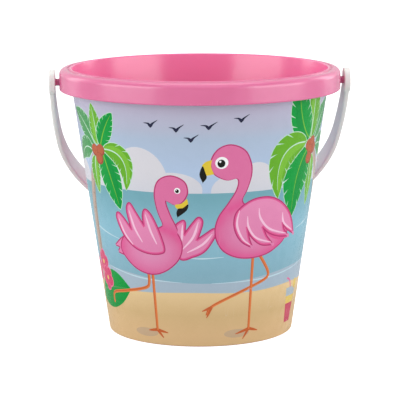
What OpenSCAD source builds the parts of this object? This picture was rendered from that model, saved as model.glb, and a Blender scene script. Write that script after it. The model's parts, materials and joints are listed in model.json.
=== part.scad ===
// Sand bucket with a printed wrap and a swinging bail handle.
// The bucket stands on its foot ring at z = 0 with its axis on Z, and the handle turns about X.

/* [Bucket] */
// Diameter across the rolled rim
rim_d = 180; // [170:1:200]
// Height from the ground to the lip bead
bucket_h = 170; // [150:1:190]
// Outside diameter of the wall, carried down to the ground
foot_d = 118.4; // [110:0.2:124]
// How far the wall's radius grows for each millimetre of height
wall_slope = 0.1447; // [0.12:0.0001:0.148]
// Thickness of the wall
wall_t = 1.8; // [1.4:0.1:2.2]
// Thickness of the floor
floor_t = 2; // [1.5:0.1:3]
// Height of the floor's underside above the ground
foot_h = 3; // [2.6:0.1:5]
// Height of the rim's skirt, from its lower edge to the lip bead
skirt_h = 14; // [12:0.5:16]

/* [Label] */
// Thickness of the printed film, drawn thicker than the real film
label_t = 0.25; // [0.2:0.05:0.4]
// Height of the film's lower edge
label_low = 1.2; // [1.1:0.1:6]
// How far the film runs up behind the skirt
label_tuck = 2.5; // [1:0.5:4]
// Width of the gap where the film's two ends meet at the back
label_gap = 0.8; // [0.4:0.1:2]

/* [Handle] */
// Half of the distance between the middles of the two limbs at the pivots
handle_half_span = 94.5; // [94:0.1:97]
// Radius of the slight bow of each limb
limb_bow_r = 350; // [340:5:400]
// Angle through which each limb bows before the round of the grip begins
limb_bow = 7.6; // [7.5:0.1:9]
// Width of the strap
strap_w = 14.4; // [10:0.2:14.6]
// Thickness of the strap
strap_t = 3.4; // [3:0.1:3.8]
// Rounding of the strap's four long edges
strap_edge_r = 1.2; // [0.8:0.1:1.4]
// Radius of the round eye at each end
eye_r = 8; // [7.4:0.1:9]
// Thickness of the eye, which stands a little proud of the strap
eye_t = 4; // [3.9:0.1:4.4]
// Angle below the horizontal at which the handle rests against the wall
rest_tilt = 53.8; // [45:0.1:53.8]

/* [Pivot] */
// Distance of the pivot line below the top of the rim
pivot_drop = 9.3; // [8.5:0.1:10]
// Diameter of the peg
peg_d = 4.4; // [4:0.1:5.4]
// Diameter of the peg's snap head
peg_head_d = 6; // [5.8:0.1:7]
// Clearance between the peg and its eye, on the radius
peg_clear = 0.08; // [0.05:0.01:0.1]

/* [Hidden] */
$fn = 180;

slope_len = sqrt(1 + wall_slope * wall_slope);
rim_r = rim_d / 2;
skirt_low = bucket_h - skirt_h;
label_top = skirt_low + label_tuck;
pivot_z = bucket_h - pivot_drop;

floor_top = foot_h + floor_t;
foot_round = 1.2;               // outer rounding of the foot ring
foot_w = 2.6;                   // width of the flat that the foot ring stands on
floor_fillet = 4;               // rounding between the floor and the inner wall
fillet_bite = 0.05;             // how far the fillet's circle cuts into both
lip_bead_r = wall_t / 2;        // round bead that closes the top of the wall
deck_top = bucket_h - 0.5;      // flat ring between the bead and the shoulder
shoulder_r = 3.6;               // outer rounding of the rim
skirt_t = wall_t;               // thickness of the skirt and the deck

gusset_t = 1.6;                 // ribs behind each peg, between the wall and the skirt
gusset_spread = 4.2;            // distance of each rib from the pivot line
peg_slot = 1.2;                 // split that lets the snap head close
peg_slot_depth = 5;             // length of the split, from the peg's tip
peg_head_h = 1.1;               // length of the snap head
head_recess_r = peg_head_d / 2 + 0.3;
head_recess_h = 1.6;            // depth of the recess that hides the head
head_float = 0.3;               // end play of the head in its recess
gate_r = 3;                     // moulding gate mark under the floor
gate_h = 0.6;                   // how far the mark stands out

limb_slim = 0.15;               // each side of a limb lies this far inside the grip's
limb_root = 0.3;                // angle by which a limb runs on into the grip
eye_out = handle_half_span + eye_t / 2;

// The round of the grip starts where a limb's bow ends, and its centre is on the handle's middle line
limb_end = handle_half_span - limb_bow_r * (1 - cos(limb_bow));
grip_r = limb_end / cos(limb_bow);
grip_centre = (limb_bow_r - grip_r) * sin(limb_bow);

// Radius of the outside and the inside of the wall at a height
function wall_out(z) = foot_d / 2 + wall_slope * z;
function wall_in(z) = wall_out(z) - wall_t * slope_len;

// Wall, floor and foot ring, as a half section
module tub_profile() {
    // the foot's rounding touches the ground and the wall
    foot_c = [wall_out(foot_round) - foot_round * slope_len, foot_round];
    foot_touch = foot_c + foot_round / slope_len * [1, -wall_slope];
    // the fillet's circle reaches a little way into the wall and the floor
    fillet_z = floor_top + floor_fillet - fillet_bite;
    fillet_c = [wall_in(fillet_z) - (floor_fillet - fillet_bite) * slope_len, fillet_z];
    ring_in = foot_c[0] - foot_w;
    lip_z = bucket_h - lip_bead_r;
    translate(foot_c) circle(foot_round);
    polygon([
        [foot_c[0], 0], foot_c, foot_touch,
        [wall_out(lip_z), lip_z], [wall_in(lip_z), lip_z],
        [wall_in(floor_top), floor_top], [ring_in, floor_top], [ring_in, 0]
    ]);
    translate([0, foot_h]) square([ring_in + 1, floor_t]);
    difference() {
        polygon([
            [fillet_c[0], floor_top - 0.1], [wall_in(floor_top) + 0.3, floor_top - 0.1],
            [wall_in(fillet_z) + 0.3, fillet_z], fillet_c
        ]);
        translate(fillet_c) circle(floor_fillet);
    }
    translate([wall_in(lip_z) + lip_bead_r, lip_z]) circle(lip_bead_r);
}

// Deck, rounded shoulder and skirt of the rim, as a half section
module rim_profile() {
    shoulder_c = [rim_r - shoulder_r, deck_top - shoulder_r];
    deck_in = wall_in(deck_top) + lip_bead_r;
    edge_r = skirt_t / 2;
    translate([deck_in, deck_top - skirt_t]) square([shoulder_c[0] - deck_in, skirt_t]);
    translate(shoulder_c) intersection() {
        difference() {
            circle(shoulder_r);
            circle(shoulder_r - skirt_t);
        }
        square(shoulder_r + 1);
    }
    translate([rim_r - skirt_t, skirt_low + edge_r]) square([skirt_t, shoulder_c[1] - skirt_low - edge_r]);
    translate([rim_r - edge_r, skirt_low + edge_r]) circle(edge_r);
}

// Printed film, flush with the wall or standing proud of it, with a narrow gap where its ends meet
module film(proud = 0) {
    difference() {
        rotate_extrude() polygon([
            [wall_out(label_low) - label_t, label_low], [wall_out(label_low) + proud, label_low],
            [wall_out(label_top) + proud, label_top], [wall_out(label_top) - label_t, label_top]
        ]);
        translate([-label_gap / 2, 0, 0]) cube([label_gap, rim_r, bucket_h]);
    }
}

// Split peg with a snap head, pointing along +X from the skirt
module peg() {
    root_x = rim_r - skirt_t / 2;
    head_x = eye_out - head_recess_h + head_float;
    translate([0, 0, pivot_z]) rotate([0, 90, 0]) difference() {
        union() {
            translate([0, 0, root_x]) cylinder(h = head_x - root_x, d = peg_d, $fn = 64);
            translate([0, 0, head_x]) cylinder(h = peg_head_h, d1 = peg_head_d, d2 = peg_d, $fn = 64);
        }
        translate([-peg_slot / 2, -peg_head_d, head_x + peg_head_h - peg_slot_depth])
            cube([peg_slot, 2 * peg_head_d, peg_slot_depth + 1]);
    }
}

// Pair of ribs that carry the peg's load from the skirt to the wall
module gussets() {
    rib_in = wall_out(pivot_z) - wall_t / 2;
    rib_out = rim_r - skirt_t / 2;
    rib_low = label_top + 0.5;
    for (side = [-1, 1])
        translate([rib_in, side * gusset_spread - gusset_t / 2, rib_low])
            cube([rib_out - rib_in, gusset_t, deck_top - skirt_t / 2 - rib_low]);
}

module bucket_shell() {
    color([0.93, 0.49, 0.67]) {
        difference() {
            rotate_extrude() {
                tub_profile();
                rim_profile();
            }
            film(proud = 0.2);
        }
        translate([0, 0, foot_h - gate_h]) cylinder(h = gate_h + 0.1, r = gate_r, $fn = 48);
        for (turn = [0, 180]) rotate([0, 0, turn]) {
            peg();
            gussets();
        }
    }
}

module printed_label() {
    color([0.66, 0.75, 0.85]) film();
}

// Section across the strap, with rounded edges
module strap_section(thick, width) {
    flat_t = thick / 2 - strap_edge_r;
    flat_w = width / 2 - strap_edge_r;
    square([2 * flat_t, width], center = true);
    square([thick, 2 * flat_w], center = true);
    for (x = [-flat_t, flat_t], y = [-flat_w, flat_w]) translate([x, y]) circle(strap_edge_r, $fn = 48);
}

// Strap bent about Z at a radius, from one angle to another, with each side set in by an amount
module strap_arc(radius, from, to, slim = 0) {
    rotate([0, 0, from]) rotate_extrude(angle = to - from) translate([radius, 0])
        strap_section(strap_t - 2 * slim, strap_w - 2 * slim);
}

// Eye with softened rims, standing on the middle of the strap at a pivot
module eye() {
    rim = strap_edge_r / 2;
    flat = eye_t / 2 - rim;
    rotate([0, 90, 0]) rotate_extrude() {
        translate([0, -eye_t / 2]) square([eye_r - rim, eye_t]);
        translate([0, -flat]) square([eye_r, 2 * flat]);
        for (y = [-flat, flat]) translate([eye_r - rim, y]) circle(rim, $fn = 48);
    }
}

module handle() {
    color([0.95, 0.95, 0.96]) translate([0, 0, pivot_z]) rotate([-rest_tilt, 0, 0]) difference() {
        union() {
            translate([0, grip_centre, 0]) strap_arc(grip_r, limb_bow, 180 - limb_bow);
            for (side = [0, 1]) mirror([side, 0, 0]) {
                translate([handle_half_span - limb_bow_r, 0, 0])
                    strap_arc(limb_bow_r, 0, limb_bow + limb_root, limb_slim);
                translate([handle_half_span, 0, 0]) eye();
            }
        }
        for (side = [0, 1]) mirror([side, 0, 0]) rotate([0, 90, 0]) {
            translate([0, 0, handle_half_span - eye_t])
                cylinder(h = 2 * eye_t, r = peg_d / 2 + peg_clear, $fn = 64);
            translate([0, 0, eye_out - head_recess_h])
                cylinder(h = head_recess_h + 1, r = head_recess_r, $fn = 64);
        }
    }
}

bucket_shell();
printed_label();
handle();
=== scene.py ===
"""A child's sand bucket: a pink moulded pail, a printed beach wrap and a white bail handle.

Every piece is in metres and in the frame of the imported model. The pail stands on its foot ring at
z = 0, its axis is Z, and the handle turns about X.
"""

import json
import logging
import math
from dataclasses import dataclass, field
from enum import Enum
from typing import Any, Sequence

import bmesh
import bpy
import numpy as np
from mathutils import Matrix, Vector, geometry


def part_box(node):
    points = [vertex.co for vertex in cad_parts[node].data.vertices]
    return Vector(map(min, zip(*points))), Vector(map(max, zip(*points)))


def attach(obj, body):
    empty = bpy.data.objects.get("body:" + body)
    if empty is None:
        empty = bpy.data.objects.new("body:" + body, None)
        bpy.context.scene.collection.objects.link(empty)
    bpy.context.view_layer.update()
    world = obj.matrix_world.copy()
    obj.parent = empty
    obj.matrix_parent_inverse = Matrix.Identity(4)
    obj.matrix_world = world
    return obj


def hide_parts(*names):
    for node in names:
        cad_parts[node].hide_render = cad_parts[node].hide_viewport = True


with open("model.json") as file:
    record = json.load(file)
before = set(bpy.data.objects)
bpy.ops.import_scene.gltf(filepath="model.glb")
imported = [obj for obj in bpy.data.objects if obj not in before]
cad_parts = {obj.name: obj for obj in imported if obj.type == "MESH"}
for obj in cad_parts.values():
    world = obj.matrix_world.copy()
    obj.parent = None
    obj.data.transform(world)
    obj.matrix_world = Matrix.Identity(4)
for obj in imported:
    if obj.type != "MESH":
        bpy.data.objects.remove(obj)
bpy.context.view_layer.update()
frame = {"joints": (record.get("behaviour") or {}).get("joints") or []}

LOG = logging.getLogger("sand_bucket")
MM = 0.001
MERGED = 1e-7  # points nearer than this become one, in metres
Rgb = tuple[float, float, float]
Outline = np.ndarray


# ------------------------------------------------------------------ colour


def linear(colour: Sequence[float]) -> np.ndarray:
    """Turn display colours from 0 to 255 into linear light from 0 to 1.

    Args:
        colour: One colour, or an array of them, as red, green and blue.

    Returns:
        An array of the same shape.
    """
    c = np.asarray(colour, float) / 255
    return np.where(c <= 0.04045, c / 12.92, ((c + 0.055) / 1.055) ** 2.4)


def rgba(colour: Sequence[float]) -> tuple[float, float, float, float]:
    """Return a display colour as a linear colour with full alpha."""
    return (*linear(colour), 1.0)


# ------------------------------------------------------------------ shader graph


class Wire:
    """A node's output that can be used in arithmetic, which adds the Math nodes it needs."""

    def __init__(self, graph: "Graph", socket: bpy.types.NodeSocket) -> None:
        """Wrap one output socket of a graph."""
        self.graph = graph
        self.socket = socket

    def _math(self, operation: str, a: Any, b: Any) -> "Wire":
        """Add one Math node on two values and return its output."""
        return self.graph.node("ShaderNodeMath", {"operation": operation}, {0: a, 1: b})

    def __add__(self, other: Any) -> "Wire":
        """Add a wire or a number."""
        return self._math("ADD", self, other)

    def __radd__(self, other: Any) -> "Wire":
        """Add this wire to a number."""
        return self._math("ADD", other, self)

    def __sub__(self, other: Any) -> "Wire":
        """Subtract a wire or a number."""
        return self._math("SUBTRACT", self, other)

    def __rsub__(self, other: Any) -> "Wire":
        """Subtract this wire from a number."""
        return self._math("SUBTRACT", other, self)

    def __mul__(self, other: Any) -> "Wire":
        """Multiply by a wire or a number."""
        return self._math("MULTIPLY", self, other)

    def __rmul__(self, other: Any) -> "Wire":
        """Multiply a number by this wire."""
        return self._math("MULTIPLY", other, self)

    def over(self, low: float, high: float) -> "Wire":
        """Return a mask that rises smoothly from 0 at low to 1 at high.

        Args:
            low: Where the mask starts to rise.
            high: Where it reaches 1.

        Returns:
            The mask.
        """
        return self.graph.node(
            "ShaderNodeMapRange",
            {"interpolation_type": "SMOOTHSTEP"},
            {"Value": self, "From Min": low, "From Max": high},
        )


class Graph:
    """A node tree that is built up node by node."""

    def __init__(self, tree: bpy.types.NodeTree) -> None:
        """Start on an existing tree."""
        self.tree = tree

    def feed(self, node: bpy.types.Node, key: int | str, value: Any) -> None:
        """Set one input of a node, or link a wire to it.

        Args:
            node: The node.
            key: The input's place, its name, or its identifier.
            value: A wire, a number or a tuple.
        """
        found = [s for s in node.inputs if s.identifier == key]
        socket = found[0] if found else node.inputs[key]
        if isinstance(value, Wire):
            self.tree.links.new(value.socket, socket)
        else:
            socket.default_value = value

    def node(
        self, kind: str, settings: dict[str, Any] | None = None,
        values: dict[int | str, Any] | None = None, output: int | str = 0,
    ) -> Wire:
        """Add a node, set it up and return one of its outputs.

        Args:
            kind: The node's type.
            settings: Attributes, which are set before the inputs.
            values: Inputs, as wires, numbers or tuples.
            output: The output to return, as its place, name or identifier.

        Returns:
            The output as a wire.
        """
        made = self.tree.nodes.new(kind)
        for name, setting in (settings or {}).items():
            setattr(made, name, setting)
        for key, value in (values or {}).items():
            self.feed(made, key, value)
        found = [s for s in made.outputs if s.identifier == output]
        return Wire(self, found[0] if found else made.outputs[output])

    def place(self, stretch: tuple[float, float, float] = (1, 1, 1)) -> Wire:
        """Return the object's own coordinates in metres, stretched along each axis."""
        coords = self.node("ShaderNodeTexCoord", output="Object")
        return self.node("ShaderNodeMapping", None, {"Vector": coords, "Scale": stretch})

    def noise(self, place: Wire, size: float, detail: float = 2.0, rough: float = 0.5) -> Wire:
        """Return soft noise from 0 to 1 whose lumps are about size metres across."""
        values = {"Vector": place, "Scale": 1 / size, "Detail": detail, "Roughness": rough}
        return self.node("ShaderNodeTexNoise", None, values)

    def blend(self, mask: Wire | float, low: Any, high: Any) -> Wire:
        """Mix two colours by a mask.

        Args:
            mask: A wire or a number from 0 to 1.
            low: The colour where the mask is 0.
            high: The colour where it is 1.

        Returns:
            The mixed colour.
        """
        return self.node(
            "ShaderNodeMix", {"data_type": "RGBA"},
            {"Factor_Float": mask, "A_Color": low, "B_Color": high}, "Result_Color",
        )


class Surface(Graph):
    """The node tree of one material, with its Principled shader."""

    def __init__(self, name: str) -> None:
        """Start an empty material.

        Args:
            name: The material's name.
        """
        self.material = bpy.data.materials.new(name)
        self.material.use_nodes = True
        super().__init__(self.material.node_tree)
        self.tree.nodes.clear()
        self.shader = self.tree.nodes.new("ShaderNodeBsdfPrincipled")
        output = self.tree.nodes.new("ShaderNodeOutputMaterial")
        self.tree.links.new(self.shader.outputs[0], output.inputs["Surface"])

    def finish(self, sockets: dict[str, Any], bump: Wire, depth: float) -> bpy.types.Material:
        """Fill the Principled shader and return the material.

        Args:
            sockets: Inputs of the Principled shader.
            bump: The height that bends the surface, from 0 to 1.
            depth: The height's full depth in metres.

        Returns:
            The finished material.
        """
        for key, value in sockets.items():
            self.feed(self.shader, key, value)
        normal = self.node(
            "ShaderNodeBump", None, {"Height": bump, "Distance": depth, "Strength": 1.0}, "Normal"
        )
        self.feed(self.shader, "Normal", normal)
        return self.material


# ------------------------------------------------------------------ finishes


def scratches(graph: Graph, size: float, share: float) -> Wire:
    """Return thin scattered hairlines, as a mask from 0 to 1.

    The lines are the narrow band where a long, stretched noise crosses its middle value, kept only
    where a second, broad noise is high.

    Args:
        graph: The material's graph.
        size: How far apart the hairlines lie, in metres.
        share: The part of the surface that carries them, from 0 to 1.

    Returns:
        The mask.
    """
    slant, thinness, patch_size = (0.5, 0.7, 0.3), 0.006, 9 * size
    values = {"Vector": graph.place(), "Rotation": slant, "Scale": (1.0, 1.0, 0.12)}
    veins = graph.noise(graph.node("ShaderNodeMapping", None, values), size, detail=1.0)
    band = graph.node("ShaderNodeMath", {"operation": "COMPARE"}, {0: veins, 1: 0.5, 2: thinness})
    patches = graph.noise(graph.place(), patch_size, detail=2.0)
    lowest = 0.72 - 0.35 * share
    return band * patches.over(lowest, lowest + 0.08)


@dataclass(frozen=True)
class MouldedPlastic:
    """Injection moulded polypropylene, with the faint waviness, flow marks and scuffs of a mould, and,
    where asked, a lighter inside that is painted light.

    Attributes:
        name: The material's name.
        colour: Display colour.
        shade: Display colour of the slightly deeper clouds in the pigment.
        scuffed: Display colour of scuffs.
        roughness: Roughness of the clean surface.
        gloss: Strength of its mirror reflection, where 0.5 is that of clear plastic.
        glow: How much light travels under the surface, from 0 to 1.
        glow_reach: How far it travels, in metres.
        inside: Display colour painted on the pail's inside, if it differs. It is painted light: lighter and
            pinker, for the brighter light inside the pail.
    """

    name: str
    colour: Rgb
    shade: Rgb
    scuffed: Rgb
    roughness: float
    gloss: float
    glow: float
    glow_reach: float
    inside: Rgb | None = None

    def painted_inner_light_mask(self, graph: Graph) -> Wire:
        """Return a mask of the pail's inside, from the middle of the wall inwards and above the floor,
        where the painted light goes.

        The middle of the wall has the radius slope * z + foot - wall / 2. A point is inside where the
        square of its distance from the axis is less than the square of that.

        Args:
            graph: The material's graph.

        Returns:
            The mask, which is 1 on the inside.
        """
        place = {"Vector": graph.place()}
        x, y, z = (graph.node("ShaderNodeSeparateXYZ", None, place, axis) for axis in "XYZ")
        wall = z * PAIL.slope + (PAIL.foot - PAIL.wall / 2)
        depth, soft = wall * wall - (x * x + y * y), 4e-5
        return depth.over(-soft, soft) * z.over(3.5 * MM, 4.5 * MM)

    def material(self) -> bpy.types.Material:
        """Build the material and return it.

        Returns:
            The finished material.
        """
        g = Surface(self.name)
        place = g.place()
        clouds = g.noise(place, size=45 * MM, detail=3.0)
        flow = g.noise(g.place((1, 1, 0.25)), size=12 * MM, detail=2.0)
        wave = g.noise(place, size=6 * MM, detail=1.0)
        grain = g.noise(place, size=0.7 * MM, detail=2.0)
        hairs = scratches(g, size=4 * MM, share=0.3)
        pigment = (clouds * 0.7 + flow * 0.3).over(0.35, 0.7)
        tone = g.blend(pigment, rgba(self.colour), rgba(self.shade))
        # The inside takes a lighter painted colour: painted light for the brighter inside, not a different
        # plastic.
        if self.inside:
            tone = g.blend(self.painted_inner_light_mask(g), tone, rgba(self.inside))
        colour = g.blend(hairs * 0.12, tone, rgba(self.scuffed))
        sockets = {
            "Base Color": colour,
            "Roughness": self.roughness + (clouds - 0.5) * 0.08 + grain * 0.05 + hairs * 0.15,
            "IOR": 1.49,
            "Specular IOR Level": self.gloss,
            "Subsurface Weight": self.glow,
            "Subsurface Radius": (1.0, 0.45, 0.55),
            "Subsurface Scale": self.glow_reach,
        }
        return g.finish(sockets, wave * 0.8 + grain * 0.12 - hairs * 0.06, depth=0.06 * MM)


@dataclass(frozen=True)
class PrintedFilm:
    """Glossy in-mould film whose ink comes from the piece's own colour attribute.

    Attributes:
        name: The material's name.
        ink: Name of the colour attribute.
        roughness: Roughness of the clean film.
        gloss: Strength of its mirror reflection, where 0.5 is that of clear plastic.
        scuffed: Display colour of scuffs.
    """

    name: str
    ink: str
    roughness: float = 0.26
    gloss: float = 0.12
    scuffed: Rgb = (236, 236, 238)

    def material(self) -> bpy.types.Material:
        """Build the material and return it.

        Returns:
            The finished material.
        """
        g = Surface(self.name)
        place = g.place()
        ink = g.node("ShaderNodeAttribute", {"attribute_name": self.ink}, output="Color")
        mottle = g.noise(place, size=9 * MM, detail=3.0)
        dots = g.noise(place, size=0.45 * MM, detail=1.0)
        wave = g.noise(g.place((1, 1, 0.5)), size=11 * MM, detail=1.0)
        hairs = scratches(g, size=5 * MM, share=0.3)
        density = 0.99 + mottle * 0.01 + (dots - 0.5) * 0.03
        printed = g.node("ShaderNodeHueSaturation", None, {"Color": ink, "Value": density})
        colour = g.blend(hairs * 0.22, printed, rgba(self.scuffed))
        sockets = {
            "Base Color": colour,
            "Roughness": self.roughness + (mottle - 0.5) * 0.04 + dots * 0.03 + hairs * 0.15,
            "IOR": 1.5,
            "Specular IOR Level": self.gloss,
        }
        return g.finish(sockets, wave * 0.6 + dots * 0.1 - hairs * 0.15, depth=0.015 * MM)


@dataclass(frozen=True)
class StudioFloor:
    """Plain floor with the faintest mottle, lifted to white for the eye.

    Attributes:
        name: The material's name.
        colour: Display colour as the light finds it.
        mottled: Display colour of the mottle.
        lift: Brightness that only the camera sees.
    """

    name: str = "studio_floor"
    colour: Rgb = (208, 208, 208)
    mottled: Rgb = (203, 203, 204)
    lift: float = 0.9

    def material(self) -> bpy.types.Material:
        """Build the material and return it.

        Returns:
            The finished material.
        """
        g = Surface(self.name)
        mottle = g.noise(g.place(), size=0.4, detail=2.0)
        seen = g.node("ShaderNodeLightPath", output="Is Camera Ray")
        sockets = {
            "Base Color": g.blend(mottle, rgba(self.colour), rgba(self.mottled)),
            "Roughness": 0.9,
            "Specular IOR Level": 0.1,
            "Emission Color": g.blend(seen, (0.0, 0.0, 0.0, 1.0), (self.lift,) * 3 + (1.0,)),
            "Emission Strength": 1.0,
        }
        return g.finish(sockets, mottle, depth=0.1 * MM)


# inside is a lighter pink painted on the pail's inside: painted light for the brighter light in there.
PINK_PLASTIC = MouldedPlastic(
    name="pink_polypropylene", colour=(224, 109, 156), shade=(219, 103, 150), scuffed=(246, 178, 205),
    roughness=0.2, gloss=0.95, glow=0.12, glow_reach=6 * MM, inside=(244, 116, 168),
)
WHITE_PLASTIC = MouldedPlastic(
    name="white_polypropylene", colour=(238, 237, 233), shade=(232, 231, 228), scuffed=(246, 246, 246),
    roughness=0.28, gloss=0.5, glow=0.1, glow_reach=4 * MM,
)
WRAP_FILM = PrintedFilm("printed_film", "ink")


# ------------------------------------------------------------------ meshes


def build(name: str, points: np.ndarray, faces: Sequence[Sequence[int]]) -> bpy.types.Object:
    """Make an object at the origin from points and faces, and put it in the scene.

    Args:
        name: The piece's name.
        points: Points in metres, one a row.
        faces: Faces as lists of point numbers.

    Returns:
        The new object.
    """
    mesh = bpy.data.meshes.new(name)
    mesh.from_pydata(np.asarray(points).tolist(), [], [list(map(int, f)) for f in faces])
    mesh.validate()
    piece = bpy.data.objects.new(name, mesh)
    bpy.context.collection.objects.link(piece)
    return piece


def soften(piece: bpy.types.Object, angle: float = 32.0) -> bpy.types.Object:
    """Merge doubles, point the faces outwards and shade smooth across edges flatter than angle.

    Args:
        piece: The piece.
        angle: The sharpest turn that still looks round, in degrees.

    Returns:
        The same piece.
    """
    made = bmesh.new()
    made.from_mesh(piece.data)
    bmesh.ops.remove_doubles(made, verts=made.verts, dist=MERGED)
    bmesh.ops.recalc_face_normals(made, faces=made.faces)
    made.to_mesh(piece.data)
    made.free()
    piece.data.shade_smooth()
    piece.data.set_sharp_from_angle(angle=math.radians(angle))
    return piece


def grid_faces(rows: int, columns: int, wrap_rows: bool, wrap_columns: bool) -> np.ndarray:
    """Return the quads of a grid of points numbered row by row, closed round where asked.

    Args:
        rows: How many rows of points there are.
        columns: How many points a row has.
        wrap_rows: Whether the last row joins the first.
        wrap_columns: Whether each row's last point joins its first.

    Returns:
        The numbers of the points, one quad a row.
    """
    last_row, last_column = rows - (not wrap_rows), columns - (not wrap_columns)
    r, c = np.meshgrid(np.arange(last_row), np.arange(last_column), indexing="ij")
    r, c = r.ravel(), c.ravel()
    r2, c2 = (r + 1) % rows, (c + 1) % columns
    return np.stack([r * columns + c, r * columns + c2, r2 * columns + c2, r2 * columns + c], 1)


def arc(centre: Sequence[float], radius: float, start: float, end: float, count: int) -> np.ndarray:
    """Return points on a circle, from one angle in degrees to another."""
    a = np.radians(np.linspace(start, end, count))
    return np.stack([centre[0] + radius * np.cos(a), centre[1] + radius * np.sin(a)], 1)


def stretch(start: Sequence[float], end: Sequence[float], step: float, edge: float) -> np.ndarray:
    """Return points on a straight line, evenly spaced, with one more close to each end.

    Args:
        start: The first point.
        end: The last point.
        step: The widest spacing.
        edge: How close the extra points lie to the ends.

    Returns:
        The points, one a row.
    """
    a, b = np.asarray(start, float), np.asarray(end, float)
    length = float(np.linalg.norm(b - a))
    edge = min(edge, length / 3)
    inner = np.linspace(edge, length - edge, max(2, math.ceil(length / step)))
    along = np.concatenate([[0.0], inner, [length]]) / length
    return a + along[:, None] * (b - a)


def revolve(name: str, profile: np.ndarray, turns: int) -> bpy.types.Object:
    """Turn a closed half section about Z.

    A point (r, z) of the profile becomes (r sin a, -r cos a, z) at the angle a. Points on the axis
    are merged into one.

    Args:
        name: The piece's name.
        profile: Points as radius and height in metres.
        turns: How many steps make the full turn.

    Returns:
        The new object.
    """
    a = np.linspace(0, 2 * math.pi, turns, endpoint=False)[:, None]
    r, z = profile[:, 0][None, :], profile[:, 1][None, :]
    points = np.stack([r * np.sin(a), -r * np.cos(a), z + 0 * a], -1).reshape(-1, 3)
    faces = grid_faces(turns, len(profile), True, True)
    return soften(build(name, points, faces))


# ------------------------------------------------------------------ sizes taken from the frame


@dataclass(frozen=True)
class Pail:
    """Sizes of the pail in metres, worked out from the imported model.

    Attributes:
        height: Height of the lip.
        rim: Outer radius of the rim.
        pivot: Height of the handle's pivot line.
        foot: Radius of the wall, carried down to the ground.
        slope: How far the wall's radius grows for each metre of height.
        wall: Thickness of the wall.
        skirt: Height of the rim's skirt.
        film: Thickness of the printed film.
        foot_round: Outer rounding of the foot ring.
    """

    height: float = round(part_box("bucket_shell")[1][2], 5)
    rim: float = round(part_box("bucket_shell")[1][1], 5)
    pivot: float = frame["joints"][0]["pos_m"][2]
    foot: float = 59.2 * MM
    slope: float = 0.1447
    wall: float = 1.8 * MM
    skirt: float = 14 * MM
    film: float = 0.25 * MM
    foot_round: float = 1.2 * MM

    @property
    def slant(self) -> float:
        """Length of the wall's slope for each metre of height."""
        return math.hypot(1, self.slope)

    def outside(self, z: np.ndarray | float) -> np.ndarray | float:
        """Return the outer radius of the wall at a height."""
        return self.foot + self.slope * z

    @property
    def foot_middle(self) -> float:
        """Radius at which the foot's rounding has its centre."""
        return self.outside(self.foot_round) - self.foot_round * self.slant

    def face(self, z: np.ndarray) -> np.ndarray:
        """Return the outer radius at a height, with the rounding of the foot.

        Up to where the foot's circle touches the wall, the radius is that of the circle at the height
        z, and above it that of the wall.

        Args:
            z: Heights in metres.

        Returns:
            Radii in metres.
        """
        below = np.clip(self.foot_round - z, 0, self.foot_round)
        round_face = self.foot_middle + np.sqrt(self.foot_round**2 - below**2)
        touch = self.foot_round * (1 - self.slope / self.slant)
        return np.where(z < touch, round_face, self.outside(z))

    def inside(self, z: np.ndarray | float) -> np.ndarray | float:
        """Return the inner radius of the wall at a height."""
        return self.outside(z) - self.wall * self.slant


PAIL = Pail()


# ------------------------------------------------------------------ the pink moulding


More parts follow.
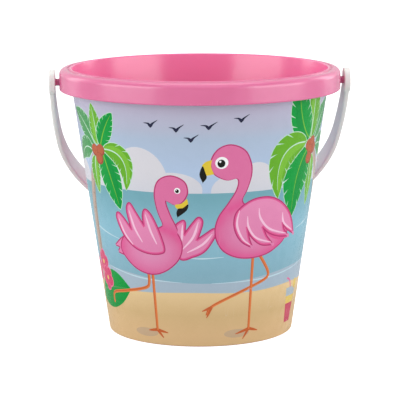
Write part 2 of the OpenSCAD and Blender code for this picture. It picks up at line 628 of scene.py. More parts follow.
@dataclass
class Shell:
    """The pink moulding: floor, foot ring, wall and rolled rim, with the pegs for the handle.

    Attributes:
        pail: The driving sizes.
        floor_under: Height of the floor's underside.
        floor_over: Height of the floor's upper face.
        foot_flat: Width of the flat that the foot ring stands on.
        fillet: Rounding between the floor and the wall.
        shoulder: Outer rounding of the rim.
        deck: How far the rim's flat ring lies under the lip bead.
        film_low: Lower edge of the printed film.
        film_tuck: How far the film runs up behind the skirt.
        turns: Steps round the pail.
    """

    pail: Pail = PAIL
    floor_under: float = 3 * MM
    floor_over: float = 5 * MM
    foot_flat: float = 2.6 * MM
    fillet: float = 4 * MM
    shoulder: float = 3.6 * MM
    deck: float = 0.5 * MM
    film_low: float = 1.2 * MM
    film_tuck: float = 2.5 * MM
    turns: int = 288

    def underside(self) -> np.ndarray:
        """Return the half section under the floor and round the foot, out to the wall.

        Returns:
            Points as radius and height, from the axis outwards.
        """
        p = self.pail
        foot_x = p.foot_middle
        ring_in = foot_x - self.foot_flat
        tilt = math.degrees(math.atan(p.slope))
        gate, low, small = 3 * MM, self.floor_under, 0.5 * MM
        return np.vstack([
            [(0, low - 0.6 * MM)],
            arc((gate - 0.2 * MM, low - 0.4 * MM), 0.2 * MM, -90, 0, 4),
            arc((gate + 0.3 * MM, low - 0.3 * MM), 0.3 * MM, 180, 90, 4),
            stretch((gate + 0.4 * MM, low), (ring_in - small, low), 6 * MM, 0.4 * MM),
            arc((ring_in - small, low - small), small, 90, 0, 5)[1:],
            arc((ring_in + small, small), small, 180, 270, 6),
            stretch((ring_in + small, 0), (foot_x, 0), 1 * MM, 0.2 * MM)[1:],
            arc((foot_x, p.foot_round), p.foot_round, -90, -tilt, 12)[1:],
        ])

    def outer_wall(self) -> np.ndarray:
        """Return the half section up the outside of the wall, with the film's recess.

        Returns:
            Points as radius and height, from the foot up.
        """
        p = self.pail
        low, top = self.film_low, p.height - p.skirt + self.film_tuck
        under_deck = p.height - self.deck - p.wall
        corner = 0.9 * MM

        def on_wall(z: float, inset: float = 0.0) -> tuple[float, float]:
            """Return a point of the wall at a height, set in by an amount."""
            return p.outside(z) - inset, z

        return np.vstack([
            [on_wall(low - 0.05 * MM), on_wall(low, p.film)],
            stretch(on_wall(low + 0.1 * MM, p.film), on_wall(top - 0.1 * MM, p.film), 6 * MM, 0.3 * MM),
            [on_wall(top, p.film), on_wall(top + 0.05 * MM)],
            stretch(on_wall(top + 0.2 * MM), on_wall(under_deck - corner), 2 * MM, 0.2 * MM),
            arc((p.outside(under_deck) + corner, under_deck - corner), corner, 172, 90, 6),
        ])

    def rim(self) -> np.ndarray:
        """Return the half section of the skirt, the shoulder, the deck, its groove and the lip bead.

        Returns:
            Points as radius and height, from under the deck out, round and in to the lip.
        """
        p = self.pail
        deck_z = p.height - self.deck
        centre = (p.rim - self.shoulder, deck_z - self.shoulder)
        edge = p.wall / 2
        skirt_low = p.height - p.skirt
        bead = p.wall / 2 + 0.1 * MM
        bead_x = float(p.inside(p.height - bead)) + bead
        groove = 0.7 * MM
        lift = math.asin(1 - self.deck / bead)
        groove_x = bead_x + bead * math.cos(lift) + groove
        deck_in = (p.outside(deck_z) + 1.4 * MM, deck_z - p.wall)
        inner = centre[0] + self.shoulder - p.wall
        return np.vstack([
            stretch(deck_in, (centre[0], deck_z - p.wall), 2 * MM, 0.2 * MM),
            arc(centre, self.shoulder - p.wall, 90, 0, 8)[1:],
            stretch((inner, centre[1]), (inner, skirt_low + edge), 2 * MM, 0.3 * MM)[1:],
            arc((p.rim - edge, skirt_low + edge), edge, 180, 360, 14)[1:],
            stretch((p.rim, skirt_low + edge), (p.rim, centre[1]), 2 * MM, 0.3 * MM)[1:],
            arc(centre, self.shoulder, 0, 90, 18)[1:],
            stretch((centre[0], deck_z), (groove_x + groove, deck_z), 1 * MM, 0.2 * MM)[1:],
            arc((groove_x, deck_z), groove, 0, -180, 12)[1:],
            arc((bead_x, p.height - bead), bead, math.degrees(lift), 180, 16)[1:],
        ])

    def inner_wall(self) -> np.ndarray:
        """Return the half section down the inside of the wall and in along the floor.

        Returns:
            Points as radius and height, from the lip down and in to the axis.
        """
        p = self.pail
        tilt = math.degrees(math.atan(p.slope))
        centre_z = self.floor_over + self.fillet
        centre = (float(p.inside(centre_z)) - self.fillet * p.slant, centre_z)
        touch = arc(centre, self.fillet, -tilt, -90, 12)
        top = (float(p.inside(p.height - 1.4 * MM)), p.height - 1.4 * MM)
        return np.vstack([
            stretch(top, touch[0], 6 * MM, 0.4 * MM),
            touch[1:],
            stretch((centre[0], self.floor_over), (0, self.floor_over), 7 * MM, 0.5 * MM)[1:],
        ])

    def body(self) -> bpy.types.Object:
        """Build the wall, floor and rim as one turned surface."""
        profile = np.vstack([self.underside(), self.outer_wall(), self.rim(), self.inner_wall()])
        return revolve("pail_body", profile, self.turns)

    def peg(self, side: int) -> bpy.types.Object:
        """Build one split peg with its snap head.

        Each of the two prongs is a bar along X. Across it, a point at the angle a of the section is
        (max(r cos a, slot), r sin a), so that the prong is flat along the slot. Its radius r
        changes along the bar, from the shank through the snap head to the rounded tip.

        Args:
            side: 1 for the peg on +X, -1 for the one on -X.

        Returns:
            The new object.
        """
        p = self.pail
        shank, head, slot = 2.2 * MM, 3.0 * MM, 0.6 * MM
        out = float(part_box("handle")[1][0])
        x, r = np.array([
            (p.rim - 1.0 * MM, shank + 0.5 * MM),
            (p.rim + 0.2 * MM, shank),
            (out - 1.42 * MM, shank),
            (out - 1.3 * MM, head - 0.1 * MM),
            (out - 1.2 * MM, head),
            (out - 0.5 * MM, shank + 0.15 * MM),
            (out - 0.25 * MM, shank - 0.25 * MM),
            (out - 0.2 * MM, shank - 0.7 * MM),
        ]).T
        a = np.radians(np.linspace(-90, 90, 25))
        round_y = np.maximum(r[:, None] * np.cos(a), slot)
        round_z = r[:, None] * np.sin(a)
        flat_z = np.linspace(1, -1, 7)[1:-1] * round_z[:, -1:]
        section_y = np.hstack([round_y, np.full_like(flat_z, slot)])
        section_z = np.hstack([round_z, flat_z])
        section_x = np.broadcast_to(x[:, None], section_y.shape)
        bars = [np.stack([section_x, prong * section_y, section_z], -1) for prong in (1, -1)]
        points = np.vstack([bar.reshape(-1, 3) for bar in bars]) * [side, 1, 1] + [0, 0, p.pivot]
        count = section_y.shape[1]
        whole = len(x) * count
        ends = [list(range(count)), list(range(whole - count, whole))]
        faces = grid_faces(len(x), count, False, True).tolist() + ends
        shifted = [[i + whole for i in f] for f in faces]
        name = "peg_right" if side > 0 else "peg_left"
        return soften(build(name, points, faces + shifted), 40)

    def ribs(self, side: int) -> bpy.types.Object:
        """Build the two small ribs that tie a peg's root to the wall, as thin rounded plates.

        Args:
            side: 1 for the ribs on +X, -1 for those on -X.

        Returns:
            The new object.
        """
        p = self.pail
        low = p.height - p.skirt + self.film_tuck + 0.5 * MM
        high = p.height - self.deck - p.wall + 0.2 * MM
        inner, outer = p.outside(p.pivot) - 0.8 * MM, p.rim - 1.2 * MM
        half, spread = 0.8 * MM, 4.2 * MM
        x = np.array([inner, outer])
        across = np.array([-1, -0.6, 0.6, 1]) * half
        drop = np.array([0.3, 0, 0, 0.3]) * MM
        points, faces = [], []
        for place in (-spread, spread):
            start = len(points)
            for px in x:
                points += [(side * px, place + y, low + d) for y, d in zip(across, drop)]
                points += [(side * px, place + y, high) for y in across[::-1]]
            faces += (grid_faces(2, 8, False, True) + start).tolist()
            faces += [[start + i for i in range(8)], [start + 8 + i for i in range(8)]]
        name = "ribs_right" if side > 0 else "ribs_left"
        return soften(build(name, np.array(points), faces), 40)

    def dress(self) -> list[bpy.types.Object]:
        """Build every part of the moulding, give it its finish and fix it to the bucket.

        Returns:
            The five finished pieces.
        """
        parts = [self.body()]
        parts += [make(side) for make in (self.peg, self.ribs) for side in (-1, 1)]
        finish = PINK_PLASTIC.material()
        for part in parts:
            part.data.materials.append(finish)
            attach(part, "bucket")
            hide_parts("bucket_shell")
            LOG.info("%s: %d faces", part.name, len(part.data.polygons))
        return parts


# ------------------------------------------------------------------ shapes of the print
#
# The print is drawn flat, in millimetres: s runs round the pail from its front, positive towards
# +X, and z is the height. One millimetre of s is the same angle at every height.


class Ink(Enum):
    """Display colours of the inks."""

    # Pinker than the sky below it: painted pink bounce and shade from the rim above.
    SKY_TOP_PAINTED_RIM_SHADE = (190, 186, 208)
    SKY_HIGH = (180, 188, 208)
    SKY_MIDDLE = (174, 190, 211)
    SKY_LOW = (178, 199, 226)
    CLOUD = (216, 215, 221)
    CLOUD_SHADE = (209, 211, 220)
    SEA_FAR = (118, 170, 183)
    SEA_MIDDLE = (140, 190, 208)
    SEA_NEAR = (136, 178, 194)
    SHALLOWS = (168, 187, 202)
    FOAM = (194, 220, 230)
    SAND_FAR = (229, 200, 151)
    SAND_MIDDLE = (214, 183, 134)
    SAND_NEAR = (222, 188, 141)
    SAND_SHADE = (202, 174, 142)
    LEAF_LIGHT = (104, 174, 46)
    LEAF_BRIGHT = (124, 190, 60)
    LEAF_DARK = (14, 156, 64)
    LEAF_DEEP = (6, 147, 62)
    LEAF_TEAL = (72, 154, 88)
    LEAF_PALE = (196, 230, 206)
    BARK = (188, 166, 152)
    BARK_SHADE = (164, 140, 126)
    NUT = (184, 96, 64)
    NUT_SHADE = (158, 78, 58)
    PINK_DEEP = (221, 116, 163)
    PINK = (224, 133, 177)
    PINK_LIGHT = (231, 143, 185)
    PINK_GLOW = (222, 152, 188)
    PINK_PALE = (246, 198, 222)
    PINK_LINE = (186, 56, 112)
    PINK_WARM = (224, 92, 150)
    LEG = (224, 126, 72)
    LEG_SHADE = (200, 100, 56)
    BEAK = (226, 198, 64)
    BLACK = (30, 30, 26)
    WHITE = (246, 246, 246)
    GULL = (44, 46, 70)
    PETAL = (212, 66, 110)
    PETAL_LIGHT = (234, 112, 152)
    JUICE = (202, 76, 102)
    JUICE_TOP = (228, 198, 104)
    ICE = (172, 186, 196)
    FILM_EDGE = (232, 232, 234)


LINE = 0.8  # width of the line round a bird, in millimetres
SPARE = 4.0  # how far the level bands run past the ends of the sheet, in millimetres


@dataclass(frozen=True)
class Paint:
    """Ink that changes evenly with height, or outwards from a middle.

    Attributes:
        stops: Heights in millimetres, or shares of the way out, from the lowest up, each with its ink.
        middle: Where the ink spreads from, or None to go by height.
        size: Half width and half height at which the whole way out is reached.
    """

    stops: tuple[tuple[float, Ink], ...]
    middle: tuple[float, float] | None = None
    size: tuple[float, float] = (1.0, 1.0)

    def at(self, points: np.ndarray) -> np.ndarray:
        """Return the linear colour at each flat point.

        The measure is the height, or the length of (point - middle) / size, and each colour runs
        straight from stop to stop along it.

        Args:
            points: Flat points, one a row.

        Returns:
            Red, green and blue in linear light for each point.
        """
        measure = points[..., 1]
        if self.middle is not None:
            measure = np.linalg.norm((points - self.middle) / np.array(self.size), axis=-1)
        places = [place for place, _ in self.stops]
        inks = linear([ink.value for _, ink in self.stops])
        return np.stack([np.interp(measure, places, inks[:, i]) for i in range(3)], -1)

    def moved(self, way: int, shift: float) -> "Paint":
        """Return the paint moved sideways, turned left for right first if way is -1.

        Args:
            way: -1 to turn left for right, or 1.
            shift: How far to move, in millimetres.

        Returns:
            The moved paint.
        """
        if self.middle is None:
            return self
        return Paint(self.stops, (way * self.middle[0] + shift, self.middle[1]), self.size)


@dataclass(frozen=True)
class Patch:
    """One printed area.

    Attributes:
        outline: Its closed outline, one point a row.
        paint: Its ink.
    """

    outline: Outline
    paint: Paint

    def covers(self, points: np.ndarray) -> np.ndarray:
        """Return which points lie inside, by how many times the outline winds round each.

        The count goes up for each edge that passes a point upwards on its right, and down for each
        that passes it downwards. A point lies inside where the count isn't 0.

        Args:
            points: Flat points, one a row.

        Returns:
            Whether each point lies inside.
        """
        a, b = self.outline, np.roll(self.outline, -1, 0)
        low, high = a.min(0), a.max(0)
        near = np.flatnonzero(((points >= low) & (points <= high)).all(1))
        p = points[near][:, None, :]
        edge, way = b - a, p - a
        side = edge[:, 0] * way[..., 1] - way[..., 0] * edge[:, 1]
        up = (a[:, 1] <= p[..., 1]) & (b[:, 1] > p[..., 1]) & (side > 0)
        down = (a[:, 1] > p[..., 1]) & (b[:, 1] <= p[..., 1]) & (side < 0)
        inside = np.zeros(len(points), bool)
        inside[near] = (up.sum(1) - down.sum(1)) != 0
        return inside


def patch(outline: Outline, *stops: Ink | tuple[float, Ink]) -> Patch:
    """Return a patch with one ink, or with several that blend over the height."""
    placed = tuple(stop if isinstance(stop, tuple) else (0.0, stop) for stop in stops)
    return Patch(np.asarray(outline, float), Paint(placed))


def moved(patches: Sequence[Patch], shift: float, mirror: bool = False) -> list[Patch]:
    """Return patches moved sideways, turned left for right first if asked."""
    way = -1 if mirror else 1
    return [Patch(p.outline * [way, 1] + [shift, 0], p.paint.moved(way, shift)) for p in patches]


def smooth(points: Sequence[Sequence[float]], closed: bool = True, steps: int = 6) -> Outline:
    """Return a smooth line through points. A point given twice makes a corner.

    Between two points the line is the cubic whose slope at each of them is half the way from the
    point before to the point after.

    Args:
        points: The points.
        closed: Whether the line comes back to its start.
        steps: Points for each stretch.

    Returns:
        The line, one point a row.
    """
    p = np.asarray(points, float)
    if not closed:
        p = np.vstack([p[:1], p, p[-1:]])
    a, b, c = np.roll(p, 1, 0), np.roll(p, -1, 0), np.roll(p, -2, 0)
    t = np.linspace(0, 1, steps, endpoint=False)[:, None, None]
    line = p + 0.5 * ((b - a) * t + (2 * a - 5 * p + 4 * b - c) * t**2 + (3 * p - a - 3 * b + c) * t**3)
    line = line.transpose(1, 0, 2)
    if closed:
        return line.reshape(-1, 2)
    return np.vstack([line[1:-2].reshape(-1, 2), p[-1:]])


def across(line: Outline) -> np.ndarray:
    """Return the unit vector to the left of a line at each of its points.

    Args:
        line: The line, one point a row.

    Returns:
        The vectors, one a row.
    """
    way = np.gradient(line, axis=0)
    way /= np.maximum(np.linalg.norm(way, axis=1, keepdims=True), 1e-9)
    return way[:, ::-1] * [-1, 1]


def ribbon(points: Sequence[Sequence[float]], widths: Sequence[float], steps: int = 6) -> Outline:
    """Return the outline of a band along a smooth line.

    Args:
        points: The points of the line.
        widths: The band's full widths, evenly spaced along it.
        steps: Points for each stretch.

    Returns:
        The outline.
    """
    line = smooth(points, False, steps)
    wide = np.interp(np.linspace(0, 1, len(line)), np.linspace(0, 1, len(widths)), widths) / 2
    left = across(line) * wide[:, None]
    return np.vstack([line + left, (line - left)[::-1]])


def ellipse(s: float, z: float, half_s: float, half_z: float, count: int = 40) -> Outline:
    """Return the outline of an ellipse."""
    return arc((0, 0), 1, 0, 360 - 360 / count, count) * [half_s, half_z] + [s, z]


def grown(outline: Outline, by: float) -> Outline:
    """Return an outline pushed outwards on every side.

    Each point moves along the vector that stands across the line through its two neighbours.

    Args:
        outline: The outline.
        by: How far, in millimetres, or less than 0 to pull it in.

    Returns:
        The new outline, without its doubled points.
    """
    around = np.vstack([outline[-1:], outline, outline[:1]])
    gap = np.linalg.norm(outline - np.roll(outline, 1, 0), axis=1) > 1e-6
    out = across(around)[1:-1]
    s, z = outline.T
    area = np.sum(s * np.roll(z, -1) - z * np.roll(s, -1))
    return (outline - out * by * math.copysign(1, area))[gap]


def swollen(outline: Outline, paint: Paint) -> list[Patch]:
    """Return a lined patch, cut into rings so that a paint that spreads from a middle stays smooth.

    Args:
        outline: The patch's outline.
        paint: Its paint, with a middle.

    Returns:
        The patches, from the line inwards.
    """
    whole, shrunk = Patch(outline, paint), 0.985
    made = [patch(grown(outline, LINE), Ink.PINK_LINE), whole]
    made.append(Patch(np.array(paint.middle) + (outline - paint.middle) * shrunk, paint))
    for share in (0.4, 0.6, 0.75, 0.88):
        ring = ellipse(*paint.middle, paint.size[0] * share, paint.size[1] * share, 28)
        if whole.covers(ring).all():
            made.append(Patch(ring, paint))
    return made


def lined(outline: Outline, *stops: Ink | tuple[float, Ink]) -> list[Patch]:
    """Return a patch on top of a slightly bigger one in the line colour."""
    return [patch(grown(outline, LINE), Ink.PINK_LINE), patch(outline, *stops)]


def feathered(outline: Outline, *stops: tuple[float, Ink]) -> list[Patch]:
    """Return a lined patch with a narrow warm rim."""
    rim = 0.9
    return lined(outline, Ink.PINK_WARM) + [patch(grown(outline, -rim), *stops)]


# ------------------------------------------------------------------ the beach on the print


@dataclass(frozen=True)
class Frond:
    """A palm frond with notched sides.

    Attributes:
        start: Where it leaves the crown.
        bend: The point that pulls its middle.
        end: Its tip.
        width: Half of its width.
        ink: Its main ink.
        notches: Cuts in each side.
    """

    start: tuple[float, float]
    bend: tuple[float, float]
    end: tuple[float, float]
    width: float
    ink: Ink
    notches: int = 5

    def spine(self, t: np.ndarray) -> Outline:
        """Return points of the frond's curve, which its bend pulls into a parabola.

        At the share t the point is start (1 - t)^2 + bend 2 t (1 - t) + end t^2.

        Args:
            t: Shares of the way from the start to the tip.

        Returns:
            The points, one a row.
        """
        t = t[:, None]
        a, b, c = (np.asarray(p, float) for p in (self.start, self.bend, self.end))
        return a * (1 - t) ** 2 + b * 2 * t * (1 - t) + c * t**2

    def side(self, share: float, cut: float) -> tuple[Outline, Outline]:
        """Return both edges.

        The half width swells and closes again along the frond. Each notch is a narrow cut that
        slants back towards the start.

        Args:
            share: Part of the half width that the edges reach.
            cut: How deep a notch goes, as a part of the half width.

        Returns:
            The left and the right edge, from the start to the tip.
        """
        slant, gape, clear = 0.055, 0.02, 0.022
        cuts = np.linspace(0.3, 0.86, self.notches)
        plain = np.linspace(0.03, 0.97, 26)
        plain = plain[np.abs(plain[:, None] - cuts).min(1) > clear]
        order = np.argsort(np.concatenate([plain, cuts, cuts + 1e-4, cuts + 2e-4]))
        t = np.concatenate([plain, cuts, cuts - slant, cuts + gape])[order]
        deep = np.full(len(cuts), 1 - cut)
        full = np.concatenate([np.ones(len(plain) + len(cuts)), deep, np.ones(len(cuts))])[order]
        swell = np.sin(np.pi * np.clip(t, 0, 1) ** 0.8) ** 0.75
        reach = (swell * full * self.width * share)[:, None]
        spine = self.spine(t)
        left = self.normal(t) * reach
        return spine + left, spine - left

    def normal(self, t: np.ndarray) -> Outline:
        """Return the unit vectors to the left of the frond's curve.

        Args:
            t: Shares of the way from the start to the tip.

        Returns:
            The vectors, one a row.
        """
        a, b, c = (np.asarray(p, float) for p in (self.start, self.bend, self.end))
        way = (b - a) * (1 - t[:, None]) + (c - b) * t[:, None]
        return way[:, ::-1] * [-1, 1] / np.linalg.norm(way, axis=1, keepdims=True)

    def patches(self) -> list[Patch]:
        """Return the frond with its other half, its rib and its pale border.

        Returns:
            The patches, from the back to the front.
        """
        half_ink = {Ink.LEAF_LIGHT: Ink.LEAF_BRIGHT, Ink.LEAF_DARK: Ink.LEAF_DEEP}.get(self.ink, self.ink)
        rib_ink = Ink.LEAF_BRIGHT if self.ink == Ink.LEAF_DARK else Ink.LEAF_PALE
        border = 0.45
        left, right = self.side(share=1.0, cut=0.42)
        start, tip = self.spine(np.array([0.0])), self.spine(np.array([1.0]))
        whole = np.vstack([start, left, tip, right[::-1]])
        inner = self.side(share=0.62, cut=0.1)[0]
        rib = self.spine(np.linspace(0.02, 0.92, 8))
        return [
            patch(grown(whole, border), Ink.LEAF_PALE),
            patch(whole, self.ink),
            patch(np.vstack([inner, rib[::-1]]), half_ink),
            patch(ribbon(rib, (0.9, 0.7, 0.2), 2), rib_ink),
        ]


@dataclass(frozen=True)
class Palm:
    """A palm tree.

    Attributes:
        trunk: Points of the trunk's middle line, from the crown down.
        widths: The trunk's widths from the crown down.
        fronds: The fronds, from the farthest to the nearest.
        nuts: Middles of the coconuts.
    """

    trunk: tuple[tuple[float, float], ...]
    widths: tuple[float, ...]
    fronds: tuple[Frond, ...]
    nuts: tuple[tuple[float, float], ...]

    def patches(self) -> list[Patch]:
        """Return the tree's patches.

        Returns:
            The patches, from the back to the front.
        """
        narrow, wide = self.widths[0], self.widths[-1]
        line = smooth(self.trunk, False)
        shade = ribbon(line + [0.24 * wide, 0], (0.8, 0.38 * wide), 2)
        made = [patch(ribbon(self.trunk, self.widths), Ink.BARK), patch(shade, Ink.BARK_SHADE)]
        rings = line[3:-1:3]
        for i, (s, z) in enumerate(rings):
            half = float(np.interp(i, (0, len(line) / 3), (narrow, wide))) * 0.46
            ring = [(s - half, z), (s, z - 1.0), (s + half, z)]
            made.append(patch(ribbon(ring, (0.3, 0.7, 0.3), 3), Ink.BARK_SHADE))
        for frond in self.fronds:
            made += frond.patches()
        for s, z in self.nuts:
            made.append(patch(ellipse(s, z, 3.9, 3.9, 24), Ink.NUT_SHADE))
            made.append(patch(ellipse(s - 0.3, z + 0.4, 3.2, 3.2, 24), Ink.NUT))
        return made


@dataclass(frozen=True)
class Seascape:
    """Sky, clouds, sea and sand, all the way round.

    Attributes:
        reach: How far the picture runs to each side.
        low: Its lower edge.
        high: Its upper edge.
        horizon: Height of the horizon.
        shoal: Height at which the shallow water begins.
        shore: Height of the water's edge.
    """

    reach: float
    low: float
    high: float
    horizon: float = 100.0
    shoal: float = 44.6
    shore: float = 35.2

    def band(self, low: float, high: float, *stops: Ink | tuple[float, Ink]) -> Patch:
        """Return a level band right round the pail."""
        far = self.reach + SPARE
        return patch([(-far, low), (far, low), (far, high), (-far, high)], *stops)

    def clouds(self) -> list[Patch]:
        """Return the round clouds that stand on the horizon.

        Returns:
            One patch a puff.
        """
        puffs = [
            (-41, 106, 18.5, 22), (-20, 102, 18, 11), (-62, 103, 13, 12),
            (31, 101, 14, 17.5), (15, 101, 12, 10),
            (104, 104, 17, 14), (122, 102, 14, 9), (168, 104, 16, 19), (186, 103, 15, 12),
            (-106, 103, 18, 15), (-126, 101, 14, 9), (-176, 105, 18, 20), (-196, 102, 16, 11),
        ]
        return [patch(ellipse(*puff), (98, Ink.CLOUD_SHADE), (112, Ink.CLOUD)) for puff in puffs]

    def waves(self) -> list[Patch]:
        """Return the thin crests on the water.

        Returns:
            One patch a crest.
        """
        crests = [
            (-102, 76, -61, 66.6), (-16, 58.6, 12, 58.8), (-78, 47.4, -16, 42.2),
            (4, 41.8, 92, 47.4), (70, 71, 96, 77), (108, 66, 142, 63), (160, 46, 192, 49),
            (-144, 60, -112, 66), (-198, 50, -166, 47), (192, 80, 218, 78), (-170, 86, -148, 83),
        ]
        sag = 0.02
        made = []
        for s, z, far_s, far_z in crests:
            middle = ((s + far_s) / 2, (z + far_z) / 2 - sag * (far_s - s))
            made.append(patch(ribbon([(s, z), middle, (far_s, far_z)], (0.2, 0.9, 0.2)), Ink.FOAM))
        return made

    def beach(self) -> list[Patch]:
        """Return the shallow water and the sand.

        The height of each edge is a constant plus small cosine waves along s, so that it rises and
        falls gently and meets itself at the joint of the film.

        Returns:
            The two patches.
        """
        s = np.linspace(-self.reach - SPARE, self.reach + SPARE, 90)
        turn = math.pi * s / self.reach
        water_edge = self.shoal - 2.8 * np.cos(turn * 2.5)
        sand_edge = self.shore + 0.8 * np.cos(turn * 5 + 0.9) + 0.4 * np.sin(turn * 3)
        foot = np.array([(s[-1], self.low - 1), (s[0], self.low - 1)])
        water, sand = (np.vstack([np.stack([s, z], 1), foot]) for z in (water_edge, sand_edge))
        inks = ((3, Ink.SAND_NEAR), (9, Ink.SAND_NEAR), (20, Ink.SAND_MIDDLE), (34, Ink.SAND_FAR))
        return [patch(water, Ink.SHALLOWS), patch(sand, *inks)]

    def gulls(self) -> list[Patch]:
        """Return the small gulls, each two thin wings that meet in a body.

        Returns:
            One patch a wing.
        """
        birds = [
            (-31, 143, 4), (-16.5, 140.6, 4), (-8.5, 134.4, 4), (1.3, 142.2, 4.4), (19.2, 146.2, 4.2),
            (150, 140, 4.2), (162, 146, 3.8), (-150, 143, 4.4), (-138, 137, 3.8),
        ]
        made = []
        for s, z, size in birds:
            for way in (-1, 1):
                tip = (1.1 * size, 2.8) if way > 0 else (-size, 0.7)
                wing = [(s - 0.2 * way, z - 2.0), (s + way * 0.3 * size, z + 0.3), (s + tip[0], z + tip[1])]
                made.append(patch(ribbon(wing, (0.9, 1.7, 0.8, 0.2)), Ink.GULL))
        return made

    def patches(self) -> list[Patch]:
        """Return the whole seascape, from the back to the front.

        Returns:
            The patches.
        """
        # The sky's top stop is painted pink bounce and shade from the rim above.
        air = ((112, Ink.SKY_LOW), (136, Ink.SKY_MIDDLE), (138, Ink.SKY_HIGH), (152, Ink.SKY_TOP_PAINTED_RIM_SHADE))
        deep = ((46, Ink.SEA_NEAR), (72, Ink.SEA_MIDDLE), (97, Ink.SEA_FAR))
        sky, sea = self.band(self.low, self.high, *air), self.band(self.low, self.horizon, *deep)
        water, sand = self.beach()
        return [sky, *self.clouds(), *self.gulls(), sea, water, *self.waves(), sand]


class Flamingo:
    """What both flamingos share: how a leg, a foot, a beak, an eye and a feather are drawn."""

    def leg(self, points: Sequence[Sequence[float]], width: float = 2.2) -> list[Patch]:
        """Return a leg along some points, lit from the right.

        Args:
            points: Points of its middle line, from the body down.
            width: Its width at the body.

        Returns:
            The leg and its shaded side.
        """
        line = np.asarray(points, float)
        return [
            patch(ribbon(line, (width, width * 0.85)), Ink.LEG),
            patch(ribbon(line - [0.3 * width, 0], (0.35 * width, 0.3 * width)), Ink.LEG_SHADE),
        ]

    def foot(self, s: float, z: float, toes: Sequence[Sequence[float]]) -> list[Patch]:
        """Return a foot on its shadow."""
        shadow = patch(ellipse(s - 9.5, z - 2.4, 10, 2.8), Ink.SAND_SHADE)
        return [shadow] + [patch(ribbon([(s, z), toe], (2.2, 1.7, 0.5)), Ink.LEG_SHADE) for toe in toes]

    def beak(self, base: Sequence[Sequence[float]], tip: Sequence[Sequence[float]]) -> list[Patch]:
        """Return a beak with a black tip."""
        return [patch(smooth(base, steps=4), Ink.BEAK), patch(smooth(tip, steps=4), Ink.BLACK)]

    def eye(self, s: float, z: float, size: float) -> list[Patch]:
        """Return a round eye.

        Args:
            s: Its place round the pail.
            z: Its height.
            size: Its radius.

        Returns:
            The white, the pupil and its glint.
        """
        return [
            patch(ellipse(s, z, size, size, 28), Ink.WHITE),
            patch(ellipse(s - 0.06 * size, z - 0.1 * size, 0.6 * size, 0.66 * size, 24), Ink.BLACK),
            patch(ellipse(s - 0.25 * size, z + 0.2 * size, 0.17 * size, 0.17 * size, 12), Ink.WHITE),
        ]

    def plump(self, middle: tuple[float, float], size: tuple[float, float]) -> Paint:
        """Return the paint of a body that glows in the middle, with a warm rim and a deeper neck."""
        belly = ((0.0, Ink.PINK_GLOW), (0.55, Ink.PINK), (0.82, Ink.PINK_DEEP))
        return Paint(belly + ((1.0, Ink.PINK_WARM), (1.35, Ink.PINK_DEEP)), middle, size)

    def streaks(self, lines: Sequence[Sequence[Sequence[float]]]) -> list[Patch]:
        """Return pale streaks along feathers."""
        return [patch(ribbon(line, (0.3, 1.5, 1.3, 0.5)), Ink.PINK_PALE) for line in lines]


